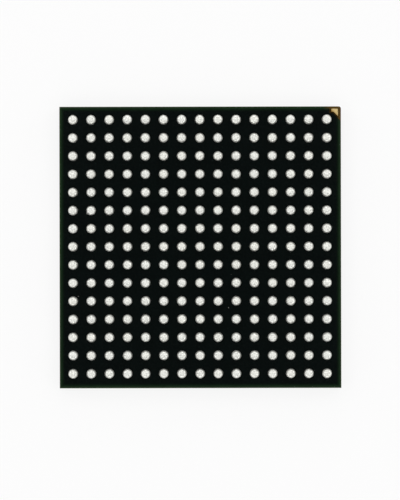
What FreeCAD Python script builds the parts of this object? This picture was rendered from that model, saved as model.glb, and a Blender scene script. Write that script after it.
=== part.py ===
import FreeCAD, Part
import math
import os

V = FreeCAD.Vector

# A touch controller in a ball grid package, lying on its marking face with the solder balls up.
# Z = 0 is the marking face of the mould cap, and X = Y = 0 is the middle of the sawn body.
# Every length is in millimetres.

# Ball grid
pitch = 0.65
row_letters = "abcdefghjklmnpr"
columns = 15
ball_diameter = 0.35
ball_land_diameter = 0.38
mask_opening_diameter = 0.28

# Sawn body: the cut runs a little off the middle of the ball grid
edge_margin = 0.50
grid_shift_x = -0.015
grid_shift_y = 0.029
worn_corner_radius = 0.08

# Layers, from the marking face up
mould_thickness = 0.60
mask_over_copper = 0.020
copper_thickness = 0.018
core_thickness = 0.18

# Ball-side copper
copper_pullback = 0.11
land_clearance = 0.05
signal_rings = 2

# Corner mark: its window in the mask, from the centre lines of the outermost balls and from the
# sawn edges, and how far its copper reaches on under the mask
mark_window_left = 0.17
mark_window_step = 0.28
mark_window_turn = 0.25
mark_right_rim = 0.103
mark_top_rim = 0.079
mark_side_overlap = 0.07
mark_lower_overlap = 0.05
mark_keepout = 0.10

# Vias
via_diameter = 0.10
via_land_diameter = 0.22
thermal_rings = 3

# Die
die_thickness = 0.20
film_thickness = 0.025
die_pad_inset = 0.08
die_pad_corner_gap = 0.28
die_pad_side = 0.075
die_pad_thickness = 0.004

# Bond fingers and traces on the die side
fan_out_length = 0.85
finger_length = 0.30
finger_gap = 0.55
finger_width = 0.11
finger_corner_gap = 0.11
trace_width = 0.045
shared_gate_spacing = 0.14
paddle_clearance = 0.12
paddle_corner_radius = 0.30
window_margin = 0.06

# Bond wires
wire_diameter = 0.020
ball_bond_diameter = 0.045
ball_bond_height = 0.012
bond_neck_height = 0.008
wire_rise = 0.085
loop_height = 0.110
loop_shoulder = 0.060
loop_flat = 0.30
stitch_length = 0.060
wire_sides = 6

# Pin-one dot on the marking face
dot_diameter = 0.50
dot_depth = 0.020
dot_inset = 0.75

# Worked out from the sizes above
grid_half = (columns - 1) * pitch / 2
grid_middle = (columns - 1) // 2
body_side = 2 * (grid_half + edge_margin)
body_half = body_side / 2
mask_thickness = mask_over_copper + copper_thickness
z_die_mask = mould_thickness
z_die_copper = z_die_mask + mask_over_copper
z_core = z_die_copper + copper_thickness
z_ball_copper = z_core + core_thickness
z_ball_mask = z_ball_copper + copper_thickness
z_surface = z_ball_mask + mask_over_copper
z_die_back = mould_thickness - film_thickness
z_die_face = z_die_back - die_thickness
z_pad_face = z_die_face - die_pad_thickness
inner_signal_row = grid_half - (signal_rings - 1) * pitch
finger_outer = inner_signal_row - fan_out_length
finger_inner = finger_outer - finger_length
finger_middle = (finger_inner + finger_outer) / 2
finger_row_half = finger_inner - finger_corner_gap
die_half = finger_inner - finger_gap
die_pad_reach = die_half - die_pad_inset
die_pad_row_half = die_half - die_pad_corner_gap
paddle_half = finger_inner - paddle_clearance
window_inner = finger_inner - window_margin
window_outer = finger_outer + window_margin


def export(name, solids):
    Part.makeCompound(solids).exportStep("parts/" + name + ".step")


def grid_point(column, row):
    x = grid_shift_x + (column - grid_middle) * pitch
    y = grid_shift_y + (grid_middle - row) * pitch
    return x, y


def ring_of(column, row):
    return max(abs(column - grid_middle), abs(row - grid_middle))


def grid_sites():
    rows = range(len(row_letters))
    return [(column, row) for row in rows for column in range(columns)]


def circle_wire(x, y, diameter, z):
    return Part.Wire(Part.makeCircle(diameter / 2, V(x, y, z)))


def polygon_wire(points, z):
    corners = [V(x, y, z) for x, y in points]
    return Part.makePolygon(corners + corners[:1])


def sheet(wires, thickness):
    face = Part.makeFace(wires, "Part::FaceMakerBullseye")
    return face.extrude(V(0, 0, thickness))


def disc(x, y, diameter, z, thickness):
    return Part.makeCylinder(diameter / 2, thickness, V(x, y, z))


def square_block(half, z, thickness, x=0.0, y=0.0):
    return Part.makeBox(2 * half, 2 * half, thickness, V(x - half, y - half, z))


def body_outline(z):
    # A square whose pin-one corner has been rubbed round
    low = -body_half
    high = body_half
    start = high - worn_corner_radius
    middle = start + worn_corner_radius * math.sqrt(0.5)
    edges = [
        Part.makeLine(V(low, low, z), V(high, low, z)),
        Part.makeLine(V(high, low, z), V(high, start, z)),
        Part.Arc(V(high, start, z), V(middle, middle, z), V(start, high, z)).toShape(),
        Part.makeLine(V(start, high, z), V(low, high, z)),
        Part.makeLine(V(low, high, z), V(low, low, z)),
    ]
    return Part.Wire(edges)


def body_slab(z, thickness):
    return sheet([body_outline(z)], thickness)


# Solder balls


def make_ball():
    # A sphere that has melted onto its land: its neck fills the opening in the mask
    radius = ball_diameter / 2
    neck = mask_opening_diameter / 2
    middle = z_surface + math.sqrt(radius ** 2 - neck ** 2)
    foot = V(0, 0, z_ball_mask)
    foot_edge = V(neck, 0, z_ball_mask)
    neck_top = V(neck, 0, z_surface)
    equator = V(radius, 0, middle)
    crown = V(0, 0, middle + radius)
    profile = [
        Part.makeLine(foot, foot_edge),
        Part.makeLine(foot_edge, neck_top),
        Part.Arc(neck_top, equator, crown).toShape(),
        Part.makeLine(crown, foot),
    ]
    return Part.Face(Part.Wire(profile)).revolve(V(0, 0, 0), V(0, 0, 1), 360)


def make_ball_row(ball, row):
    places = [grid_point(column, row) for column in range(columns)]
    return [ball.translated(V(x, y, 0)) for x, y in places]


# Corner mark


def mark_corner():
    return grid_shift_x + grid_half, grid_shift_y + grid_half


def mark_window_outline(z):
    # Straight at the left, with a level step and then a diagonal below
    corner_x, corner_y = mark_corner()
    left = corner_x + mark_window_left
    right = body_half - mark_right_rim
    top = body_half - mark_top_rim
    step_y = corner_y + mark_window_step
    turn_x = corner_x + mark_window_turn
    points = [
        (left, top),
        (left, step_y),
        (turn_x, step_y),
        (right, step_y - (right - turn_x)),
        (right, top),
    ]
    return polygon_wire(points, z)


def mark_copper_outline(z, keepout=0.0):
    # The window's left side, step and diagonal set outwards, and run out past the sawn edges
    corner_x, corner_y = mark_corner()
    lower = mark_lower_overlap + keepout
    left = corner_x + mark_window_left - mark_side_overlap - keepout
    step_y = corner_y + mark_window_step - lower
    turn_x = corner_x + mark_window_turn - lower * math.tan(math.pi / 8)
    past = body_half + edge_margin
    points = [
        (left, past),
        (left, step_y),
        (turn_x, step_y),
        (past, step_y - (past - turn_x)),
        (past, past),
    ]
    return polygon_wire(points, z)


def make_corner_mark():
    pattern = sheet([mark_copper_outline(z_ball_copper)], copper_thickness)
    return pattern.common(body_slab(z_ball_copper, copper_thickness))


# Ball-side copper and mask


def is_signal(column, row):
    return ring_of(column, row) > grid_middle - signal_rings


def land_hole_diameter():
    return ball_land_diameter + 2 * land_clearance


def make_ground_plane():
    half = body_half - copper_pullback
    signals = [site for site in grid_sites() if is_signal(*site)]
    holes = [circle_wire(*grid_point(*site), land_hole_diameter(), z_ball_copper) for site in signals]
    edge = polygon_wire([(-half, -half), (half, -half), (half, half), (-half, half)], z_ball_copper)
    plane = sheet([edge] + holes, copper_thickness)
    return plane.cut(sheet([mark_copper_outline(z_ball_copper, mark_keepout)], copper_thickness))


def make_ball_lands():
    signals = [site for site in grid_sites() if is_signal(*site)]
    return [disc(*grid_point(*site), ball_land_diameter, z_ball_copper, copper_thickness) for site in signals]


def make_ball_mask(plane, lands, mark):
    openings = [circle_wire(*grid_point(*site), mask_opening_diameter, z_ball_copper) for site in grid_sites()]
    window = mark_window_outline(z_ball_copper)
    slab = sheet([body_outline(z_ball_copper), window] + openings, mask_thickness)
    return slab.cut(Part.makeCompound([plane, mark] + lands))


# Core and vias


def is_thermal(column, row):
    return ring_of(column, row) <= thermal_rings


def is_corner(column, row):
    return abs(column - grid_middle) == grid_middle and abs(row - grid_middle) == grid_middle


def signal_via_sites():
    return [site for site in grid_sites() if is_signal(*site) and not is_corner(*site)]


def thermal_via_sites():
    return [site for site in grid_sites() if is_thermal(*site)]


def make_core():
    sites = signal_via_sites() + thermal_via_sites()
    holes = [circle_wire(*grid_point(*site), via_diameter, z_core) for site in sites]
    return sheet([body_outline(z_core)] + holes, core_thickness)


def make_vias(sites):
    return [disc(*grid_point(*site), via_diameter, z_core, core_thickness) for site in sites]


# Die-side copper


def side_routes():
    # One side of the fan-out, for the side that faces +X. A gate is the height at which a trace
    # crosses the inner signal row: on a via there, or half-way between two of them.
    routes = []
    for step in range(1 - grid_middle, grid_middle):
        target = step * pitch
        half_step = 0.5 if step <= 0 else -0.5
        gate = (step + half_step) * pitch
        if step == 0:
            gate -= shared_gate_spacing / 2
        if step == 1:
            gate += shared_gate_spacing / 2
        routes.append((gate, [(inner_signal_row, gate), (grid_half, target)]))
        if step < grid_middle - 1:
            routes.append((target, [(inner_signal_row, target)]))
    routes.sort()
    return [path for gate, path in routes]


def spread(index, count, half):
    # Places from -half to half, evenly spaced
    return (2 * index / (count - 1) - 1) * half


def ribbon(points, width):
    # A strip of even width along a path, with mitred turns
    left = []
    right = []
    for index, (x, y) in enumerate(points):
        before = points[max(index - 1, 0)]
        after = points[min(index + 1, len(points) - 1)]
        into = math.atan2(y - before[1], x - before[0]) if index else None
        out = math.atan2(after[1] - y, after[0] - x) if index < len(points) - 1 else into
        into = out if into is None else into
        reach = width / 2 / math.cos((out - into) / 2)
        angle = (into + out) / 2 + math.pi / 2
        left.append((x + reach * math.cos(angle), y + reach * math.sin(angle)))
        right.append((x - reach * math.cos(angle), y - reach * math.sin(angle)))
    return left + right[::-1]


def make_net(path, finger_y):
    # One bond finger, its trace and its via land, drawn on the +X side about the grid's middle
    finger = Part.makeBox(finger_length, finger_width, copper_thickness,
                          V(finger_inner, finger_y - finger_width / 2, z_die_copper))
    start = (finger_outer - trace_width, finger_y)
    outline = ribbon([start, (finger_outer, finger_y)] + path, trace_width)
    trace = sheet([polygon_wire(outline, z_die_copper)], copper_thickness)
    end_x, end_y = path[-1]
    land = disc(end_x, end_y, via_land_diameter, z_die_copper, copper_thickness)
    return finger.fuse([trace, land]).removeSplitter()


def turned(shape, quarter):
    copy = shape.copy()
    copy.rotate(V(0, 0, 0), V(0, 0, 1), 90 * quarter)
    copy.translate(V(grid_shift_x, grid_shift_y, 0))
    return copy


def make_nets():
    routes = side_routes()
    nets = [make_net(path, spread(index, len(routes), finger_row_half)) for index, path in enumerate(routes)]
    return [turned(net, quarter) for quarter in range(4) for net in nets]


def make_paddle():
    block = square_block(paddle_half, z_die_copper, copper_thickness, grid_shift_x, grid_shift_y)
    corners = [edge for edge in block.Edges if abs(edge.Vertexes[0].Z - edge.Vertexes[-1].Z) > copper_thickness / 2]
    return block.makeFillet(paddle_corner_radius, corners)


def bottom_wire(solid, z):
    for face in solid.Faces:
        if abs(face.BoundBox.ZMax - z) < 1e-6:
            return face.OuterWire
    raise ValueError("no face at that height")


def make_die_mask(copper):
    outlines = [bottom_wire(piece, z_die_copper) for piece in copper]
    fill = sheet([body_outline(z_die_copper)] + outlines, copper_thickness)
    frame = body_slab(z_die_mask, mask_over_copper)
    return fill.fuse(frame.cut(make_window_ring()))


def make_window_ring():
    # The opening in the mask that bares the four rows of bond fingers
    outer = square_block(window_outer, z_die_mask, mask_over_copper, grid_shift_x, grid_shift_y)
    inner = square_block(window_inner, z_die_mask, mask_over_copper, grid_shift_x, grid_shift_y)
    return outer.cut(inner)


# Die


def make_die():
    return square_block(die_half, z_die_face, die_thickness, grid_shift_x, grid_shift_y)


def make_film():
    return square_block(die_half, z_die_back, film_thickness, grid_shift_x, grid_shift_y)


def make_die_pads():
    count = len(side_routes())
    pads = []
    for quarter in range(4):
        for index in range(count):
            pad = square_block(die_pad_side / 2, z_pad_face, die_pad_thickness,
                               die_pad_reach, spread(index, count, die_pad_row_half))
            pads.append(turned(pad, quarter))
    return pads


# Bond wires


def wire_stations(span):
    # Distance along the span, height under the pad face and radius, from the ball bond to the stitch
    thin = wire_diameter / 2
    thick = ball_bond_diameter / 2
    bond_top = ball_bond_height + bond_neck_height
    finger_height = z_pad_face - z_die_copper + thin
    return [
        (0.0, 0.0, thick),
        (0.0, ball_bond_height, thick),
        (0.0, bond_top, thin),
        (0.0, wire_rise, thin),
        (loop_shoulder, loop_height, thin),
        (loop_flat, loop_height, thin),
        (span - stitch_length, finger_height, thin),
        (span, finger_height, thin),
    ]


def heading(start, end):
    return math.atan2(end[1] - start[1], end[0] - start[0])


def wire_section(stations, index, origin, along, across):
    # The wire's many-sided section at one station, in the plane that halves the turn
    here = stations[index]
    into = heading(stations[index - 1], here) if index else heading(here, stations[1])
    out = heading(here, stations[index + 1]) if index < len(stations) - 1 else into
    lean = (into + out) / 2
    stretch = 1 / math.cos((out - into) / 2)
    corner_radius = here[2] / math.cos(math.pi / wire_sides)
    points = []
    for side in range(wire_sides):
        angle = (side + 0.5) * 2 * math.pi / wire_sides
        up = corner_radius * math.cos(angle) * stretch
        aside = corner_radius * math.sin(angle)
        distance = here[0] - up * math.sin(lean)
        height = here[1] + up * math.cos(lean)
        points.append(origin + along * distance + V(0, 0, -height) + across * aside)
    return points


def polygon_face(points):
    return Part.Face(Part.makePolygon(points + points[:1]))


def make_wire(pad, finger):
    flat = finger - pad
    along = V(flat.x, flat.y, 0).normalize()
    across = V(0, 0, 1).cross(along)
    stations = wire_stations(math.hypot(flat.x, flat.y))
    rings = [wire_section(stations, index, pad, along, across) for index in range(len(stations))]
    faces = [polygon_face(rings[0]), polygon_face(rings[-1])]
    for near, far in zip(rings, rings[1:]):
        for side in range(wire_sides):
            after = (side + 1) % wire_sides
            faces.append(polygon_face([near[side], near[after], far[after], far[side]]))
    solid = Part.makeSolid(Part.makeShell(faces))
    if solid.Volume < 0:
        solid.reverse()
    return solid


def make_wires():
    count = len(side_routes())
    wires = []
    for index in range(count):
        pad = V(die_pad_reach, spread(index, count, die_pad_row_half), z_pad_face)
        finger = V(finger_middle + stitch_length / 2, spread(index, count, finger_row_half), z_pad_face)
        wires.append(make_wire(pad, finger))
    return [[turned(wire, quarter) for wire in wires] for quarter in range(4)]


# Mould cap


def make_mould(fillings):
    block = body_slab(0, mould_thickness).fuse(make_window_ring())
    dot_x = body_half - dot_inset
    dot = disc(dot_x, dot_x, dot_diameter, 0, dot_depth)
    return block.cut(Part.makeCompound(fillings + [dot]))


def main():
    os.makedirs("parts", exist_ok=True)
    ball = make_ball()
    for row, letter in enumerate(row_letters):
        export("solder_balls_row_" + letter, make_ball_row(ball, row))

    mark = make_corner_mark()
    plane = make_ground_plane()
    lands = make_ball_lands()
    export("corner_mark", [mark])
    export("ball_side_ground_plane", [plane])
    export("ball_lands", lands)
    export("ball_side_mask", [make_ball_mask(plane, lands, mark)])

    export("laminate_core", [make_core()])
    export("signal_vias", make_vias(signal_via_sites()))
    export("thermal_vias", make_vias(thermal_via_sites()))

    nets = make_nets()
    paddle = make_paddle()
    export("bond_fingers_and_traces", nets)
    export("die_paddle", [paddle])
    export("die_side_mask", [make_die_mask(nets + [paddle])])

    die = make_die()
    film = make_film()
    pads = make_die_pads()
    export("silicon_die", [die])
    export("die_attach_film", [film])
    export("die_bond_pads", pads)

    wires = make_wires()
    for side, group in zip(("east", "north", "west", "south"), wires):
        export("bond_wires_" + side, group)

    all_wires = [wire for group in wires for wire in group]
    export("mould_cap", [make_mould([die, film] + pads + all_wires)])


main()
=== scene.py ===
import math
import random

import bmesh
import bpy
from bpy.props import FloatProperty, FloatVectorProperty, PointerProperty
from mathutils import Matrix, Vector, noise


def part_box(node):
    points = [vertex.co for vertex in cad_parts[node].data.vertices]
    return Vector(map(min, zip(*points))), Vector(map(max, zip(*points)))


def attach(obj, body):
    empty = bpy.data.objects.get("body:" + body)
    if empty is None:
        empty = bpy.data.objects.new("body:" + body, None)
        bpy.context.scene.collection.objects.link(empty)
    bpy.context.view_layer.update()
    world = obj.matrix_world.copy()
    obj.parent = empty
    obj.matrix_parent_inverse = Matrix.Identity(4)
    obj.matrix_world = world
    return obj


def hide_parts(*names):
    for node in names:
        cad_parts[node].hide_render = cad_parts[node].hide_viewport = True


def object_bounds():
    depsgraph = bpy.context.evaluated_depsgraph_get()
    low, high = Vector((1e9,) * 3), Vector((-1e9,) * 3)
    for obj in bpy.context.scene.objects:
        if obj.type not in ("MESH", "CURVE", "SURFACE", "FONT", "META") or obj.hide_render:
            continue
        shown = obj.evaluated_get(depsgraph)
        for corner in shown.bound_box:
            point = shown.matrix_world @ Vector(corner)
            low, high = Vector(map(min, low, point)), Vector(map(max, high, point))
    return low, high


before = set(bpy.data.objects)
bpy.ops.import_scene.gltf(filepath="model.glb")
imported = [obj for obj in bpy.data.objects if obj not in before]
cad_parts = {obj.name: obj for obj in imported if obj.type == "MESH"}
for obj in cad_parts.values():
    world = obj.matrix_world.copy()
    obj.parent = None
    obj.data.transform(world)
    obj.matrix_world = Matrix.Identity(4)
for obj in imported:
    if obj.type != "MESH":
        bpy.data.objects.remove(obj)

bl_info = {
    "name": "Touch controller chip",
    "version": (1, 0, 0),
    "blender": (4, 5, 0),
    "location": "3D View > Sidebar > Touch Chip",
    "description": "Dresses the packed chip: reflowed balls, mask, gold mark, laminate and mould",
    "category": "Object",
}

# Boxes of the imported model, in metres
cad_low, cad_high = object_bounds()
mask_low, mask_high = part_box("ball_side_mask")
core_low, core_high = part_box("laminate_core")
mark_low, mark_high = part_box("corner_mark")
first_row_low, first_row_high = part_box("solder_balls_row_a")

ROW_LETTERS = "abcdefghjklmnpr"
COLUMNS = 15
MM = 1000.0
BODY_HALF_MM = mask_high.x * MM
CORE_LOW_MM = core_low.z * MM
CORE_TOP_MM = core_high.z * MM
BALL_DIAMETER = first_row_high.y - first_row_low.y
PITCH = (first_row_high.x - first_row_low.x - BALL_DIAMETER) / (COLUMNS - 1)


def tone(red, green, blue):
    """The linear colour of a tone that was read from a picture, 0 to 255."""
    linear = []
    for value in (red, green, blue):
        share = value / 255
        linear.append(share / 12.92 if share <= 0.04045 else ((share + 0.055) / 1.055) ** 2.4)
    return tuple(linear)


# Settings


class ChipShape(bpy.types.PropertyGroup):
    """Sizes of the pieces that are made here."""

    ball_scatter: FloatProperty(
        name="Ball scatter",
        description="How far a ball may sit from its grid point after reflow",
        default=0.000003, min=0.0, max=0.00002, precision=6, unit="LENGTH",
    )
    ball_unevenness: FloatProperty(
        name="Ball unevenness",
        description="Largest dent in a ball's skin",
        default=0.0000012, min=0.0, max=0.00001, precision=7, unit="LENGTH",
    )
    neck_diameter: FloatProperty(
        name="Neck diameter",
        description="Width of the solder in the opening of the mask",
        default=0.00028, min=0.0001, max=0.0003, precision=5, unit="LENGTH",
    )
    mark_window_left: FloatProperty(
        name="Mark window left",
        description="Gap from the mark's left copper edge to its window in the mask",
        default=0.00007, min=0.0, max=0.0002, precision=5, unit="LENGTH",
    )
    mark_step_length: FloatProperty(
        name="Mark step length",
        description="Length of the mark's level lower edge before its diagonal",
        default=0.000129, min=0.0, max=0.0004, precision=6, unit="LENGTH",
    )
    # The mark shade drop places the gold's corner of painted shade.
    mark_shade_drop: FloatProperty(
        name="Mark shade drop",
        description="Depth of the gold's darker lower left corner below the top of the mark",
        default=0.000169, min=0.0, max=0.0004, precision=6, unit="LENGTH",
    )


class ChipColours(bpy.types.PropertyGroup):
    """Main colours of the visible finishes."""

    solder: FloatVectorProperty(
        name="Solder", description="Frosted tin-silver solder",
        subtype="COLOR", size=3, default=tone(231, 231, 224), min=0.0, max=1.0,
    )
    mask: FloatVectorProperty(
        name="Mask", description="Solder mask over copper",
        subtype="COLOR", size=3, default=tone(4, 10, 9), min=0.0, max=1.0,
    )
    gold: FloatVectorProperty(
        name="Gold", description="Soft gold plating of the corner mark",
        subtype="COLOR", size=3, default=tone(214, 191, 138), min=0.0, max=1.0,
    )
    mould: FloatVectorProperty(
        name="Mould", description="Moulded epoxy of the cap",
        subtype="COLOR", size=3, default=tone(38, 38, 40), min=0.0, max=1.0,
    )
    resin: FloatVectorProperty(
        name="Resin", description="Resin of the sawn laminate",
        subtype="COLOR", size=3, default=tone(84, 78, 46), min=0.0, max=1.0,
    )


class ChipStudio(bpy.types.PropertyGroup):
    """Camera and lamps."""

    lens: FloatProperty(
        name="Lens", description="Focal length of the camera in millimetres",
        default=200.0, min=50.0, max=400.0,
    )
    camera_height: FloatProperty(
        name="Camera height", description="Height of the camera above the mask",
        default=0.09966, min=0.03, max=0.5, precision=5, unit="LENGTH",
    )
    camera_across: FloatProperty(
        name="Camera across", description="Place of the camera to the right of the chip's middle",
        default=-0.0000122, min=-0.01, max=0.01, precision=7, unit="LENGTH",
    )
    camera_along: FloatProperty(
        name="Camera along", description="Place of the camera towards the top of the picture",
        default=-0.0000946, min=-0.01, max=0.01, precision=7, unit="LENGTH",
    )
    camera_roll: FloatProperty(
        name="Camera roll", description="Turn of the camera about its own line of sight",
        default=math.radians(-0.106), subtype="ANGLE",
    )
    lamp_power: FloatProperty(
        name="Lamp power", description="Power of each lamp of the outer ring, in watts",
        default=0.0196, min=0.0, max=1.0, precision=4,
    )
    lamp_side: FloatProperty(
        name="Lamp side", description="Side of each square lamp of the outer ring",
        default=0.07, min=0.01, max=0.3, precision=4, unit="LENGTH",
    )
    lamp_tilt: FloatProperty(
        name="Lamp tilt", description="Angle between the outer lamps' direction and straight up",
        default=math.radians(72), subtype="ANGLE",
    )
    inner_lamp_power: FloatProperty(
        name="Inner lamp power", description="Power of each lamp of the inner ring, in watts",
        default=0.0171, min=0.0, max=1.0, precision=4,
    )
    inner_lamp_side: FloatProperty(
        name="Inner lamp side", description="Side of each square lamp of the inner ring",
        default=0.06, min=0.01, max=0.3, precision=4, unit="LENGTH",
    )
    inner_lamp_tilt: FloatProperty(
        name="Inner lamp tilt", description="Angle between the inner lamps' direction and straight up",
        default=math.radians(30), subtype="ANGLE",
    )
    lamp_distance: FloatProperty(
        name="Lamp distance", description="Distance of each lamp from the chip",
        default=0.115, min=0.03, max=0.5, precision=4, unit="LENGTH",
    )
    lamp_bias: FloatProperty(
        name="Lamp bias", description="How much brighter the lamps towards the top of the picture are",
        default=0.12, min=0.0, max=1.0,
    )
    room_level: FloatProperty(
        name="Room level", description="Level of the even grey light of the room",
        default=0.04, min=0.0, max=1.0,
    )


# Finishes


class Finish:
    """A node finish round one Principled shader. Its places are in millimetres of the chip's frame."""

    def __init__(self, name, metallic=0.0, roughness=0.5, specular=0.5):
        self.material = bpy.data.materials.new(name)
        self.material.use_nodes = True
        self.tree = self.material.node_tree
        self.tree.nodes.clear()
        output = self.node("ShaderNodeOutputMaterial")
        self.shader = self.node("ShaderNodeBsdfPrincipled")
        self.shader.inputs["Metallic"].default_value = metallic
        self.shader.inputs["Roughness"].default_value = roughness
        self.shader.inputs["Specular IOR Level"].default_value = specular
        self.tree.links.new(self.shader.outputs["BSDF"], output.inputs["Surface"])
        coordinates = self.node("ShaderNodeTexCoord")
        scaled = self.node("ShaderNodeVectorMath", operation="SCALE")
        scaled.inputs["Scale"].default_value = MM
        self.feed(scaled.inputs[0], coordinates.outputs["Object"])
        self.place = scaled.outputs[0]
        split = self.node("ShaderNodeSeparateXYZ")
        self.feed(split.inputs[0], self.place)
        self.x, self.y, self.z = split.outputs

    def node(self, kind, **settings):
        made = self.tree.nodes.new(kind)
        for key, value in settings.items():
            setattr(made, key, value)
        return made

    def feed(self, socket, value):
        if isinstance(value, bpy.types.NodeSocket):
            self.tree.links.new(value, socket)
        else:
            socket.default_value = value

    def calculate(self, operation, first, second=0.0):
        made = self.node("ShaderNodeMath", operation=operation)
        self.feed(made.inputs[0], first)
        self.feed(made.inputs[1], second)
        return made.outputs[0]

    def add(self, first, second):
        return self.calculate("ADD", first, second)

    def subtract(self, first, second):
        return self.calculate("SUBTRACT", first, second)

    def multiply(self, first, second):
        return self.calculate("MULTIPLY", first, second)

    def divide(self, first, second):
        return self.calculate("DIVIDE", first, second)

    def larger(self, first, second):
        return self.calculate("MAXIMUM", first, second)

    def place_of(self, x, y, z):
        made = self.node("ShaderNodeCombineXYZ")
        for socket, value in zip(made.inputs, (x, y, z)):
            self.feed(socket, value)
        return made.outputs[0]

    def grain(self, per_mm, detail=2.0, roughness=0.5, place=None):
        made = self.node("ShaderNodeTexNoise")
        self.feed(made.inputs["Vector"], place or self.place)
        made.inputs["Scale"].default_value = per_mm
        made.inputs["Detail"].default_value = detail
        made.inputs["Roughness"].default_value = roughness
        return made.outputs[0]

    def cells(self, per_mm):
        made = self.node("ShaderNodeTexVoronoi")
        self.feed(made.inputs["Vector"], self.place)
        made.inputs["Scale"].default_value = per_mm
        return made

    def cut_grains(self, per_mm):
        """Round grains that a saw has cut through, each with its own size."""
        made = self.cells(per_mm)
        size = self.node("ShaderNodeSeparateColor")
        self.feed(size.inputs[0], made.outputs["Color"])
        reach = self.fade(size.outputs[0], 0.3, 1.0, 0.02, 0.30)
        return self.fade(self.subtract(made.outputs["Distance"], reach), 0.03, -0.03)

    def saw_streaks(self, per_mm_along, per_mm_up):
        """Long thin streaks that a saw leaves along the sides."""
        along = self.multiply(self.add(self.x, self.y), per_mm_along)
        place = self.place_of(along, 0.0, self.multiply(self.z, per_mm_up))
        return self.grain(1.0, detail=3.0, roughness=0.6, place=place)

    def fade(self, value, start, end, low=0.0, high=1.0):
        made = self.node("ShaderNodeMapRange", interpolation_type="SMOOTHSTEP")
        self.feed(made.inputs["Value"], value)
        made.inputs["From Min"].default_value = start
        made.inputs["From Max"].default_value = end
        made.inputs["To Min"].default_value = low
        made.inputs["To Max"].default_value = high
        return made.outputs[0]

    def ramp(self, value, stops):
        made = self.node("ShaderNodeValToRGB")
        elements = made.color_ramp.elements
        while len(elements) > 1:
            elements.remove(elements[-1])
        for index, (position, colour) in enumerate(stops):
            element = elements[0] if index == 0 else elements.new(position)
            element.position = position
            element.color = (*colour, 1.0)
        self.feed(made.inputs[0], value)
        return made.outputs[0]

    def blend(self, share, first, second):
        made = self.node("ShaderNodeMix", data_type="RGBA")
        self.feed(made.inputs[0], share)
        for socket, value in zip((made.inputs[6], made.inputs[7]), (first, second)):
            self.feed(socket, (*value, 1.0) if isinstance(value, tuple) else value)
        return made.outputs[2]

    def brighten(self, colour, share):
        """The colour times a grey that varies over the surface."""
        made = self.node("ShaderNodeVectorMath", operation="SCALE")
        self.feed(made.inputs[0], colour)
        self.feed(made.inputs["Scale"], share)
        return made.outputs[0]

    def colour(self, value):
        self.feed(self.shader.inputs["Base Color"], value)

    def roughness(self, value):
        self.feed(self.shader.inputs["Roughness"], value)

    def relief(self, height, depth_mm, strength=1.0):
        made = self.node("ShaderNodeBump")
        made.inputs["Strength"].default_value = strength
        made.inputs["Distance"].default_value = depth_mm / MM
        self.feed(made.inputs["Height"], height)
        self.feed(self.shader.inputs["Normal"], made.outputs[0])

    def edge_gap(self):
        """Distance in from the nearest sawn edge, in millimetres."""
        across = self.calculate("ABSOLUTE", self.x)
        along = self.calculate("ABSOLUTE", self.y)
        return self.subtract(BODY_HALF_MM, self.larger(across, along))

    def mark_gap(self, shape):
        """How far a point is inside the mark's slanted lower edge, in millimetres."""
        turn = (mark_low.x + shape.mark_step_length) * MM
        step = mark_low.y * MM + mark_high.x * MM - turn
        past_turn = self.larger(self.subtract(self.x, turn), 0.0)
        edge = self.subtract(step, past_turn)
        return self.subtract(self.y, edge)


def solder_finish(colours):
    """Frosted solder with a slight tint of its own on each ball."""
    finish = Finish("frosted_solder", metallic=1.0, roughness=0.5)
    pitch = PITCH * MM
    half_gap = (PITCH - BALL_DIAMETER) * MM / 2
    over_all_heights = 10.0
    corner = (first_row_low.x * MM - half_gap, first_row_low.y * MM - half_gap - COLUMNS * pitch, 0.0)
    from_corner = finish.node("ShaderNodeVectorMath", operation="SUBTRACT")
    finish.feed(from_corner.inputs[0], finish.place)
    finish.feed(from_corner.inputs[1], corner)
    own_square = finish.node("ShaderNodeVectorMath", operation="SNAP")
    finish.feed(own_square.inputs[0], from_corner.outputs[0])
    finish.feed(own_square.inputs[1], (pitch, pitch, over_all_heights))
    chance = finish.node("ShaderNodeTexWhiteNoise", noise_dimensions="3D")
    finish.feed(chance.inputs["Vector"], own_square.outputs[0])
    cast = finish.blend(chance.outputs["Value"], tuple(colours.solder), tone(230, 231, 226))
    patches = finish.grain(9.0, detail=3.0, roughness=0.6)
    frost = finish.grain(46.0, detail=3.0, roughness=0.65)
    patch_level = finish.fade(patches, 0.3, 0.7, 0.93, 1.03)
    frost_level = finish.fade(frost, 0.25, 0.75, 0.95, 1.03)
    finish.colour(finish.brighten(cast, finish.multiply(patch_level, frost_level)))
    finish.roughness(finish.fade(patches, 0.3, 0.7, 0.49, 0.43))
    finish.relief(frost, 0.004, 0.4)
    return finish.material


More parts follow.
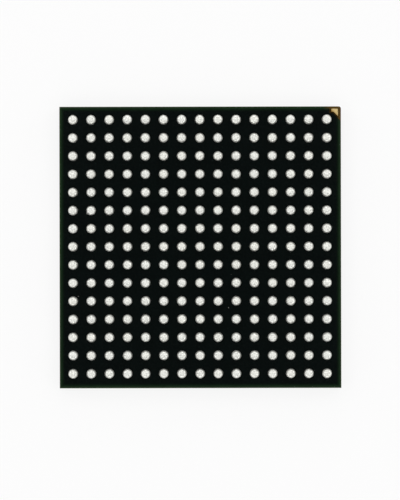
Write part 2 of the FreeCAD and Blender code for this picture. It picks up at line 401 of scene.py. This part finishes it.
def mask_finish(shape, colours):
    """Near-black mask, greener near the sawn edge, where no copper is under it, and brown over the mark, with
    painted light that makes the brown brighter near the sawn edge and spreads it beside the mark.
    """
    finish = Finish("near_black_solder_mask", roughness=0.18, specular=0.33)
    gap = finish.edge_gap()
    band_width = 0.2
    band = finish.ramp(finish.multiply(gap, 1 / band_width), [
        (0.0, tone(64, 66, 40)),
        (0.12, tone(36, 53, 33)),
        (0.22, tone(29, 48, 30)),
        (0.35, tone(19, 38, 21)),
        (0.55, tone(11, 26, 14)),
        (0.75, tone(5, 15, 9)),
        (0.9, tuple(colours.mask)),
    ])
    # Mask over the mark's copper is dark brown; the lighter brown towards the sawn edge is a painted edge
    # glow, not its own colour.
    brown_rim_and_edge_glow = finish.blend(finish.fade(gap, 0.13, 0.05), tone(42, 28, 2), tone(82, 62, 28))
    left = mark_low.x * MM
    blur = 0.006
    over_mark = finish.multiply(finish.fade(finish.mark_gap(shape), -blur, blur),
                                finish.fade(finish.x, left - blur, left + blur))
    # Painted edge glow: the lighter brown of the rim also spreads along the top edge to the left of the mark.
    flare_width, flare_height, flare_overlap = 0.26, 0.14, 0.02
    at_top = finish.fade(finish.y, BODY_HALF_MM - flare_height, BODY_HALF_MM - flare_overlap, 0.0, 0.75)
    edge_glow_beside_mark = finish.multiply(at_top, finish.fade(finish.x, left - flare_width, left + flare_overlap))
    cloud = finish.grain(1.6, detail=2.0)
    peel = finish.grain(14.0, detail=2.0)
    colour = finish.blend(finish.larger(over_mark, edge_glow_beside_mark), band, brown_rim_and_edge_glow)
    finish.colour(finish.brighten(colour, finish.fade(cloud, 0.3, 0.7, 0.9, 1.1)))
    finish.roughness(finish.fade(peel, 0.3, 0.7, 0.12, 0.17))
    finish.relief(peel, 0.0012, 0.5)
    return finish.material


def gold_finish(shape, colours):
    """Soft gold, with painted shade darkening the lower left corner of its window."""
    finish = Finish("soft_gold_plating", metallic=1.0, roughness=0.5)
    corner_x = (mark_low.x + shape.mark_window_left) * MM
    corner_y = (mark_high.y - shape.mark_shade_drop) * MM
    from_corner = finish.add(finish.subtract(finish.x, corner_x), finish.subtract(finish.y, corner_y))
    # Painted shade: the gold is blended towards a dark copy in the lower left corner of its window.
    shade = finish.fade(from_corner, -0.02, 0.16)
    fine = finish.grain(60.0, detail=3.0, roughness=0.6)
    patches = finish.grain(12.0, detail=2.0)
    light = finish.blend(patches, tone(206, 183, 126), tuple(colours.gold))
    colour = finish.blend(shade, tone(150, 116, 52), light)
    finish.colour(finish.brighten(colour, finish.fade(fine, 0.3, 0.7, 0.92, 1.05)))
    finish.roughness(finish.fade(fine, 0.3, 0.7, 0.48, 0.60))
    finish.relief(fine, 0.002, 0.5)
    return finish.material


def laminate_finish(colours):
    """Sawn glass-fibre laminate: the cut ends of glass bundles, in two plies, with streaked resin between."""
    finish = Finish("sawn_laminate", roughness=0.72, specular=0.35)
    bundle_pitch, bundle_half_width, bundle_half_height, ply_shift = 0.42, 0.165, 0.030, 0.47
    ply = (CORE_TOP_MM - CORE_LOW_MM) / 2
    level = finish.divide(finish.subtract(finish.z, CORE_LOW_MM), ply)
    own_ply = finish.calculate("FLOOR", level)
    up_in_ply = finish.subtract(finish.calculate("FRACT", level), 0.5)
    up = finish.multiply(up_in_ply, ply / bundle_half_height)
    along = finish.add(finish.x, finish.y)
    shifted = finish.add(finish.divide(along, bundle_pitch), finish.multiply(own_ply, ply_shift))
    along_in_bundle = finish.subtract(finish.calculate("FRACT", shifted), 0.5)
    beside = finish.multiply(along_in_bundle, bundle_pitch / bundle_half_width)
    reach = finish.add(finish.multiply(up, up), finish.multiply(beside, beside))
    ragged = finish.add(reach, finish.fade(finish.grain(30.0, detail=2.0), 0.2, 0.8, -0.35, 0.35))
    bundle = finish.fade(ragged, 1.1, 0.8)
    fibre_ends = finish.fade(finish.cells(110.0).outputs["Distance"], 0.2, 0.6)
    glass = finish.blend(fibre_ends, tone(168, 160, 118), tone(96, 90, 56))
    streaks = finish.saw_streaks(1.5, 90.0)
    resin = finish.blend(finish.fade(streaks, 0.35, 0.65), tuple(colours.resin), tone(118, 110, 70))
    sawn = finish.blend(bundle, resin, glass)
    mottle = finish.fade(finish.grain(5.0, detail=3.0), 0.3, 0.7, 0.82, 1.12)
    finish.colour(finish.brighten(sawn, mottle))
    finish.relief(finish.add(streaks, finish.multiply(bundle, 0.4)), 0.003, 0.7)
    return finish.material


def mould_finish(colours):
    """Fine matte grain on the moulded face, and saw streaks and cut filler grains on the sawn sides."""
    finish = Finish("black_moulding_compound", roughness=0.6, specular=0.4)
    at_side = finish.fade(finish.edge_gap(), 0.004, 0.001)
    at_face = finish.subtract(1.0, at_side)
    in_dot = finish.multiply(finish.fade(finish.z, 0.012, 0.018), at_face)
    pores = finish.grain(34.0, detail=4.0, roughness=0.7)
    moulded = finish.brighten(tuple(colours.mould), finish.fade(pores, 0.36, 0.64, 0.60, 1.45))
    streaks = finish.saw_streaks(0.7, 48.0)
    filler = finish.larger(finish.cut_grains(46.0), finish.cut_grains(17.0))
    cut = finish.blend(filler, tone(38, 38, 40), tone(88, 88, 86))
    cut = finish.brighten(cut, finish.fade(streaks, 0.3, 0.7, 0.70, 1.30))
    both = finish.blend(at_side, moulded, cut)
    broad = finish.fade(finish.grain(1.1, detail=3.0), 0.3, 0.7, 0.92, 1.08)
    finish.colour(finish.brighten(both, broad))
    rough_cut = finish.fade(streaks, 0.3, 0.7, 0.50, 0.68)
    rough_face = finish.subtract(finish.fade(pores, 0.3, 0.7, 0.56, 0.72), finish.multiply(in_dot, 0.25))
    finish.roughness(finish.add(finish.multiply(rough_cut, at_side), finish.multiply(rough_face, at_face)))
    pore_depth = finish.fade(at_side, 0.0, 1.0, 5.0, 0.8)
    heights = finish.add(finish.multiply(streaks, at_side), finish.multiply(pores, pore_depth))
    finish.relief(heights, 0.004, 0.6)
    return finish.material


def die_mask_finish(colours):
    """The mask of the die side, of which only its sawn edge is seen."""
    finish = Finish("green_black_die_side_mask", roughness=0.35, specular=0.4)
    gap = finish.edge_gap()
    cloud = finish.grain(1.8, detail=2.0)
    band = finish.blend(finish.fade(gap, 0.02, 0.0), tuple(colours.mask), tone(34, 48, 33))
    finish.colour(finish.brighten(band, finish.fade(cloud, 0.3, 0.7, 0.88, 1.12)))
    finish.relief(finish.grain(16.0), 0.0012, 0.5)
    return finish.material


def foil_finish():
    """Etched copper with a light stain."""
    finish = Finish("etched_copper_foil", metallic=1.0, roughness=0.45)
    fine = finish.grain(55.0, detail=3.0, roughness=0.6)
    stain = finish.grain(2.2, detail=3.0)
    colour = finish.blend(finish.fade(stain, 0.3, 0.7), tone(214, 136, 98), tone(196, 110, 78))
    finish.colour(finish.brighten(colour, finish.fade(fine, 0.3, 0.7, 0.9, 1.05)))
    finish.roughness(finish.fade(fine, 0.3, 0.7, 0.38, 0.52))
    finish.relief(fine, 0.001, 0.5)
    return finish.material


def wire_finish():
    """Bright drawn gold."""
    finish = Finish("drawn_gold_wire", metallic=1.0, roughness=0.25)
    fine = finish.grain(80.0, detail=2.0)
    finish.colour(finish.blend(fine, tone(246, 206, 122), tone(228, 184, 98)))
    finish.roughness(finish.fade(fine, 0.3, 0.7, 0.2, 0.32))
    return finish.material


def silicon_finish():
    """Polished silicon with fine grinding marks one way."""
    finish = Finish("polished_silicon", metallic=0.55, roughness=0.18)
    stretched = finish.place_of(finish.multiply(finish.x, 2.0), finish.multiply(finish.y, 55.0), finish.z)
    marks = finish.grain(1.0, detail=3.0, place=stretched)
    finish.colour(finish.blend(marks, tone(104, 108, 118), tone(126, 130, 138)))
    finish.roughness(finish.fade(marks, 0.3, 0.7, 0.14, 0.26))
    finish.relief(marks, 0.0005, 0.4)
    return finish.material


def film_finish():
    """Dull adhesive film with flecks of filler."""
    finish = Finish("die_attach_film", roughness=0.7)
    flecks = finish.grain(24.0, detail=3.0)
    finish.colour(finish.blend(finish.fade(flecks, 0.35, 0.65), tone(188, 180, 164), tone(164, 154, 136)))
    finish.relief(flecks, 0.001, 0.5)
    return finish.material


def pad_finish():
    """Thin bright metal of the die's pads."""
    finish = Finish("pad_metal", metallic=1.0, roughness=0.35)
    fine = finish.grain(120.0, detail=2.0)
    finish.colour(finish.blend(fine, tone(232, 232, 230), tone(214, 214, 212)))
    finish.roughness(finish.fade(fine, 0.3, 0.7, 0.3, 0.42))
    return finish.material


def dust_finish():
    """Pale matte dust."""
    finish = Finish("pale_dust", roughness=0.85, specular=0.2)
    fluff = finish.grain(60.0, detail=3.0)
    finish.colour(finish.blend(fluff, tone(176, 174, 168), tone(140, 137, 129)))
    return finish.material


def paint(finish, *names):
    """Gives the named CAD nodes one finish in every material slot."""
    for name in names:
        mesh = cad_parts[name].data
        mesh.materials.clear()
        mesh.materials.append(finish)


# Solder balls

PROFILE_STEPS = 18
BALL_SIDES = 36
NUB_BALL_SIDES = 64
DENTS_PER_METRE = 9000


def ball_profile(radius, neck, foot, surface):
    """Radius and height from the crown of a ball down to its foot on the copper."""
    centre = surface + math.sqrt(radius ** 2 - neck ** 2)
    lowest = math.pi - math.asin(neck / radius)
    points = []
    for step in range(1, PROFILE_STEPS + 1):
        turn = lowest * step / PROFILE_STEPS
        points.append((radius * math.sin(turn), centre + radius * math.cos(turn)))
    points.append((neck, foot))
    return centre + radius, points


def add_ball(mesh, middle, crown, profile, sides, dent, nub):
    """One closed reflowed ball, a little uneven, with an optional small nub on its side."""
    def placed(x, y, z):
        spot = Vector((x, y, z))
        wave = noise.noise((spot + Vector((middle[0], middle[1], 0))) * DENTS_PER_METRE)
        shrink = 1 - dent * (0.5 + 0.5 * wave) / (BALL_DIAMETER / 2)
        spot.x *= shrink
        spot.y *= shrink
        if nub:
            direction, reach, height, stand_out = nub
            way = Vector((math.cos(direction), math.sin(direction), 0))
            flat = Vector((spot.x, spot.y, 0))
            level = (z - height) / reach
            if flat.length > 0:
                aside = flat.angle(way) * BALL_DIAMETER / 2 / reach
                spot += flat.normalized() * stand_out * math.exp(-(aside ** 2 + level ** 2))
        return (spot.x + middle[0], spot.y + middle[1], spot.z)

    top = mesh.verts.new(placed(0, 0, crown - dent / 2))
    rings = []
    for radius, height in profile:
        ring = []
        for side in range(sides):
            turn = 2 * math.pi * side / sides
            ring.append(mesh.verts.new(placed(radius * math.cos(turn), radius * math.sin(turn), height)))
        rings.append(ring)
    for side in range(sides):
        after = (side + 1) % sides
        mesh.faces.new((top, rings[0][side], rings[0][after]))
        for upper, lower in zip(rings, rings[1:]):
            mesh.faces.new((upper[side], lower[side], lower[after], upper[after]))
    mesh.faces.new(rings[-1][::-1])


def new_piece(name, mesh, finish):
    data = bpy.data.meshes.new(name)
    mesh.to_mesh(data)
    mesh.free()
    data.materials.append(finish)
    piece = bpy.data.objects.new(name, data)
    bpy.context.scene.collection.objects.link(piece)
    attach(piece, "root")
    return piece


# Column and row of a ball with a nub: its direction, reach along the skin, height and how far it stands out
NUBS = {
    (1, 5): (math.radians(218), 0.000040, 0.00095, 0.000030),
    (6, 10): (math.radians(245), 0.000036, 0.00094, 0.000026),
}


class TOUCHCHIP_OT_solder_balls(bpy.types.Operator):
    """Replaces each row of balls by frosted, reflowed balls that fill their openings in the mask"""

    bl_idname = "touch_chip.solder_balls"
    bl_label = "Solder Balls"

    def execute(self, context):
        shape = context.scene.chip_shape
        finish = solder_finish(context.scene.chip_colours)
        chance = random.Random(15)
        neck = shape.neck_diameter / 2
        crown, profile = ball_profile(BALL_DIAMETER / 2, neck, first_row_low.z, mask_high.z)
        for row, letter in enumerate(ROW_LETTERS):
            node = "solder_balls_row_" + letter
            low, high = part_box(node)
            mesh = bmesh.new()
            for column in range(COLUMNS):
                x = low.x + BALL_DIAMETER / 2 + column * PITCH + chance.uniform(-1, 1) * shape.ball_scatter
                y = (low.y + high.y) / 2 + chance.uniform(-1, 1) * shape.ball_scatter
                nub = NUBS.get((column, row))
                sides = NUB_BALL_SIDES if nub else BALL_SIDES
                add_ball(mesh, (x, y), crown, profile, sides, shape.ball_unevenness, nub)
            for face in mesh.faces:
                face.smooth = len(face.verts) < 5
            piece = new_piece("reflowed_balls_row_" + letter, mesh, finish)
            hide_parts(node)
        return {"FINISHED"}


class TOUCHCHIP_OT_ball_side(bpy.types.Operator):
    """Finishes the printed mask, the gold mark and the copper of both sides"""

    bl_idname = "touch_chip.ball_side"
    bl_label = "Ball Side"

    def execute(self, context):
        shape = context.scene.chip_shape
        colours = context.scene.chip_colours
        paint(mask_finish(shape, colours), "ball_side_mask")
        paint(gold_finish(shape, colours), "corner_mark")
        paint(foil_finish(), "ball_side_ground_plane", "ball_lands", "signal_vias", "thermal_vias",
              "bond_fingers_and_traces", "die_paddle")
        return {"FINISHED"}


class TOUCHCHIP_OT_laminate(bpy.types.Operator):
    """Finishes the sawn glass-fibre core and the mask of the die side"""

    bl_idname = "touch_chip.laminate"
    bl_label = "Laminate"

    def execute(self, context):
        colours = context.scene.chip_colours
        paint(laminate_finish(colours), "laminate_core")
        paint(die_mask_finish(colours), "die_side_mask")
        return {"FINISHED"}


class TOUCHCHIP_OT_die_and_wires(bpy.types.Operator):
    """Finishes the die, its film and pads, and the bond wires"""

    bl_idname = "touch_chip.die_and_wires"
    bl_label = "Die and Wires"

    def execute(self, context):
        paint(silicon_finish(), "silicon_die")
        paint(film_finish(), "die_attach_film")
        paint(pad_finish(), "die_bond_pads")
        paint(wire_finish(), "bond_wires_east", "bond_wires_north", "bond_wires_west", "bond_wires_south")
        return {"FINISHED"}


class TOUCHCHIP_OT_mould_cap(bpy.types.Operator):
    """Finishes the moulded cap: fine grain on its face and saw marks on its sides"""

    bl_idname = "touch_chip.mould_cap"
    bl_label = "Mould Cap"

    def execute(self, context):
        paint(mould_finish(context.scene.chip_colours), "mould_cap")
        return {"FINISHED"}


# Place on the mask and size of each speck of dust, in metres
SPECKS = [
    ((0.00101, -0.00216), 0.0000145),
    ((-0.00438, -0.00175), 0.0000135),
    ((0.00110, -0.00098), 0.0000070),
]
DUST_LUMPS = (0.75, 1.1)
DUST_FLATNESS = 0.5
DUST_LIFT = 0.4


class TOUCHCHIP_OT_dust(bpy.types.Operator):
    """Lays a few small specks of pale dust on the mask between the balls"""

    bl_idname = "touch_chip.dust"
    bl_label = "Dust"

    def execute(self, context):
        chance = random.Random(4)
        mesh = bmesh.new()
        for (x, y), size in SPECKS:
            made = bmesh.ops.create_icosphere(mesh, subdivisions=2, radius=size)
            for vertex in made["verts"]:
                vertex.co *= chance.uniform(*DUST_LUMPS)
                vertex.co.z *= DUST_FLATNESS
                vertex.co += Vector((x, y, mask_high.z + size * DUST_LIFT))
        new_piece("dust_specks", mesh, dust_finish())
        return {"FINISHED"}


# Studio


FLOOR_GAP = 0.00001
# How much of the floor's white is its own light, by the distance from the chip in metres
WHITE_SHARES = {"From Min": 0.02, "From Max": 0.20, "To Min": 0.84, "To Max": 0.99}
MATTE_WHITE = (0.95, 0.95, 0.95, 1.0)


def backdrop_finish():
    """Pure white to the camera and in reflections, but near the chip partly matte, which keeps its shadow."""
    material = bpy.data.materials.new("pale_studio_floor")
    material.use_nodes = True
    tree = material.node_tree
    tree.nodes.clear()
    output = tree.nodes.new("ShaderNodeOutputMaterial")
    seen = tree.nodes.new("ShaderNodeLightPath")
    direct = tree.nodes.new("ShaderNodeMath")
    direct.operation = "MAXIMUM"
    through = tree.nodes.new("ShaderNodeMath")
    through.operation = "MAXIMUM"
    glow = tree.nodes.new("ShaderNodeEmission")
    glow.inputs["Color"].default_value = (1.0, 1.0, 1.0, 1.0)
    glow.inputs["Strength"].default_value = 1.0
    matte = tree.nodes.new("ShaderNodeBsdfDiffuse")
    matte.inputs["Color"].default_value = MATTE_WHITE
    place = tree.nodes.new("ShaderNodeTexCoord")
    distance = tree.nodes.new("ShaderNodeVectorMath")
    distance.operation = "LENGTH"
    whiter = tree.nodes.new("ShaderNodeMapRange")
    whiter.interpolation_type = "SMOOTHSTEP"
    for name, value in WHITE_SHARES.items():
        whiter.inputs[name].default_value = value
    share = tree.nodes.new("ShaderNodeMath")
    share.operation = "MULTIPLY"
    mixed = tree.nodes.new("ShaderNodeMixShader")
    link = tree.links.new
    link(seen.outputs["Is Camera Ray"], direct.inputs[0])
    link(seen.outputs["Is Glossy Ray"], direct.inputs[1])
    link(direct.outputs[0], through.inputs[0])
    link(seen.outputs["Is Transmission Ray"], through.inputs[1])
    link(place.outputs["Object"], distance.inputs[0])
    link(distance.outputs["Value"], whiter.inputs["Value"])
    link(through.outputs[0], share.inputs[0])
    link(whiter.outputs[0], share.inputs[1])
    link(share.outputs[0], mixed.inputs["Fac"])
    link(matte.outputs[0], mixed.inputs[1])
    link(glow.outputs[0], mixed.inputs[2])
    link(mixed.outputs[0], output.inputs["Surface"])
    return material


def add_backdrop():
    """A round floor that curves up into a wall on every side."""
    profile = [
        (0.02, 0.0), (0.10, 0.0), (0.40, 0.0), (0.47, 0.008),
        (0.53, 0.03), (0.575, 0.07), (0.60, 0.13), (0.61, 0.26),
    ]
    sides = 96
    turns = [2 * math.pi * side / sides for side in range(sides)]
    mesh = bmesh.new()
    centre = mesh.verts.new((0, 0, 0))
    rings = []
    for radius, height in profile:
        ring = []
        for turn in turns:
            ring.append(mesh.verts.new((radius * math.cos(turn), radius * math.sin(turn), height)))
        rings.append(ring)
    for side in range(sides):
        after = (side + 1) % sides
        mesh.faces.new((centre, rings[0][side], rings[0][after]))
        for inner, outer in zip(rings, rings[1:]):
            mesh.faces.new((inner[side], outer[side], outer[after], inner[after]))
    for face in mesh.faces:
        face.smooth = True
    data = bpy.data.meshes.new("studio_backdrop")
    mesh.to_mesh(data)
    mesh.free()
    data.materials.append(backdrop_finish())
    backdrop = bpy.data.objects.new("studio_backdrop", data)
    backdrop.location.z = cad_low.z - FLOOR_GAP
    bpy.context.scene.collection.objects.link(backdrop)


LAMPS_IN_RING = 6


def add_lamp_ring(studio, tilt, side, power):
    """Soft square lamps in a ring round and above the chip, which point at it."""
    target = Vector((0, 0, mask_high.z))
    for index in range(LAMPS_IN_RING):
        turn = 2 * math.pi * (index + 0.5) / LAMPS_IN_RING
        way = Vector((math.sin(tilt) * math.cos(turn), math.sin(tilt) * math.sin(turn), math.cos(tilt)))
        data = bpy.data.lights.new("soft_lamp", "AREA")
        data.shape = "SQUARE"
        data.size = side
        data.energy = power * (1 + studio.lamp_bias * math.sin(turn))
        lamp = bpy.data.objects.new("soft_lamp", data)
        lamp.location = target + way * studio.lamp_distance
        lamp.rotation_euler = way.to_track_quat("Z", "Y").to_euler()
        lamp.visible_camera = False
        bpy.context.scene.collection.objects.link(lamp)


def add_room(studio):
    world = bpy.data.worlds.new("plain_room")
    world.use_nodes = True
    background = world.node_tree.nodes["Background"]
    background.inputs["Color"].default_value = (1.0, 1.0, 1.0, 1.0)
    background.inputs["Strength"].default_value = studio.room_level
    bpy.context.scene.world = world


def add_camera(studio):
    """Looks straight down on the balls, with the chip where the photograph has it."""
    data = bpy.data.cameras.new("camera")
    data.lens = studio.lens
    data.clip_start = 0.001
    data.clip_end = 5.0
    camera = bpy.data.objects.new("camera", data)
    camera.location = (studio.camera_across, studio.camera_along, mask_high.z + studio.camera_height)
    camera.rotation_euler = (0.0, 0.0, studio.camera_roll)
    bpy.context.scene.collection.objects.link(camera)
    bpy.context.scene.camera = camera


class TOUCHCHIP_OT_stage(bpy.types.Operator):
    """Sets the pale floor, the soft lamps, the even room light and the camera"""

    bl_idname = "touch_chip.stage"
    bl_label = "Stage"

    def execute(self, context):
        studio = context.scene.chip_studio
        context.scene.view_settings.view_transform = "Standard"
        add_backdrop()
        add_lamp_ring(studio, studio.lamp_tilt, studio.lamp_side, studio.lamp_power)
        add_lamp_ring(studio, studio.inner_lamp_tilt, studio.inner_lamp_side, studio.inner_lamp_power)
        add_room(studio)
        add_camera(studio)
        return {"FINISHED"}


OPERATORS = (
    TOUCHCHIP_OT_stage,
    TOUCHCHIP_OT_mould_cap,
    TOUCHCHIP_OT_die_and_wires,
    TOUCHCHIP_OT_laminate,
    TOUCHCHIP_OT_ball_side,
    TOUCHCHIP_OT_solder_balls,
    TOUCHCHIP_OT_dust,
)


class TOUCHCHIP_PT_panel(bpy.types.Panel):
    """Settings and steps of the touch controller chip"""

    bl_idname = "TOUCHCHIP_PT_panel"
    bl_label = "Touch Chip"
    bl_space_type = "VIEW_3D"
    bl_region_type = "UI"
    bl_category = "Touch Chip"

    def draw(self, context):
        layout = self.layout
        for group in (context.scene.chip_shape, context.scene.chip_colours, context.scene.chip_studio):
            box = layout.box()
            for name in group.__annotations__:
                box.prop(group, name)
        column = layout.column()
        for operator in OPERATORS:
            column.operator(operator.bl_idname)


GROUPS = (("chip_shape", ChipShape), ("chip_colours", ChipColours), ("chip_studio", ChipStudio))


def register():
    for name, group in GROUPS:
        bpy.utils.register_class(group)
        setattr(bpy.types.Scene, name, PointerProperty(type=group))
    for operator in OPERATORS:
        bpy.utils.register_class(operator)
    bpy.utils.register_class(TOUCHCHIP_PT_panel)


def unregister():
    bpy.utils.unregister_class(TOUCHCHIP_PT_panel)
    for operator in reversed(OPERATORS):
        bpy.utils.unregister_class(operator)
    for name, group in reversed(GROUPS):
        delattr(bpy.types.Scene, name)
        bpy.utils.unregister_class(group)


def main():
    register()
    for operator in OPERATORS:
        group, name = operator.bl_idname.split(".")
        getattr(getattr(bpy.ops, group), name)()


if __name__ == "__main__":
    main()
